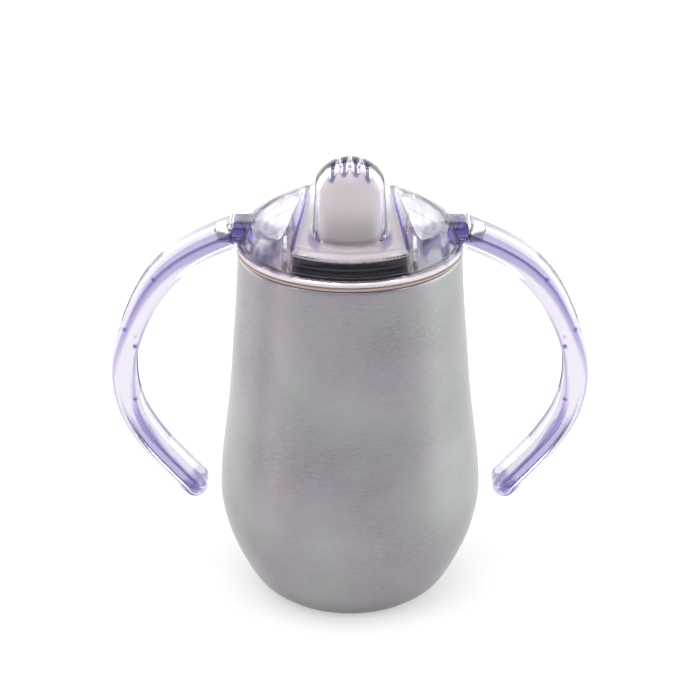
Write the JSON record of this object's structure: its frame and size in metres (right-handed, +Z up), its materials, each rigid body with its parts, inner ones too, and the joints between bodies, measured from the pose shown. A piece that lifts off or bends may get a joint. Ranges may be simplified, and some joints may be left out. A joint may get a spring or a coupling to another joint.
{
  "type": "sippy cup",
  "caption": "Insulated egg-shaped steel sippy cup with a clear push-fit spout lid, silicone valve and seal, and two curved clear handles.",
  "frame": {"origin": "centre of the underside of the foot, on the surface the cup stands on", "axes": "+Z up the cup, X along the two handles, -Y towards the side the spout is on"},
  "size_m": [0.1468, 0.081, 0.1487],
  "materials": {
    "brushed_steel": "fine horizontal brushing",
    "satin_steel": "plain satin",
    "seal_glass": "fused bead",
    "getter_metal": "matte pressed metal",
    "blush_silicone": "matte translucent silicone",
    "clear_plastic": "polished, clear, violet tint",
    "handle_plastic": "polished, clear, violet tint",
    "frosted_silicone": "frosted translucent silicone"
  },
  "bodies": {
    "cup": {"outer_shell": "brushed_steel", "inner_liner": "satin_steel", "base_plate": "satin_steel", "base_cover": "brushed_steel", "vacuum_seal": "seal_glass", "getter": "getter_metal"},
    "seal": {"lid_gasket": "blush_silicone"},
    "lid": {"lid_shell": "clear_plastic"},
    "valve": {"spout_valve": "frosted_silicone"},
    "left_handle": {"handle_left": "handle_plastic"},
    "right_handle": {"handle_right": "handle_plastic"}
  },
  "joints": [
    {"name": "lid_lift", "type": "slide", "parent": "cup", "child": "seal", "axis": [0, 0, 1], "range_m": [0, 0.03]},
    {"name": "lid_turn", "type": "hinge", "parent": "seal", "child": "lid", "pos_m": [0, 0, 0.1118], "axis": [0, 0, 1], "continuous": true},
    {"name": "valve_pull", "type": "slide", "parent": "lid", "child": "valve", "axis": [0, 0, -1], "range_m": [0, 0.018]},
    {"name": "handle_left_pull", "type": "slide", "parent": "lid", "child": "left_handle", "axis": [-1, 0, 0], "range_m": [0, 0.012]},
    {"name": "handle_right_pull", "type": "slide", "parent": "lid", "child": "right_handle", "axis": [1, 0, 0], "range_m": [0, 0.012]}
  ]
}
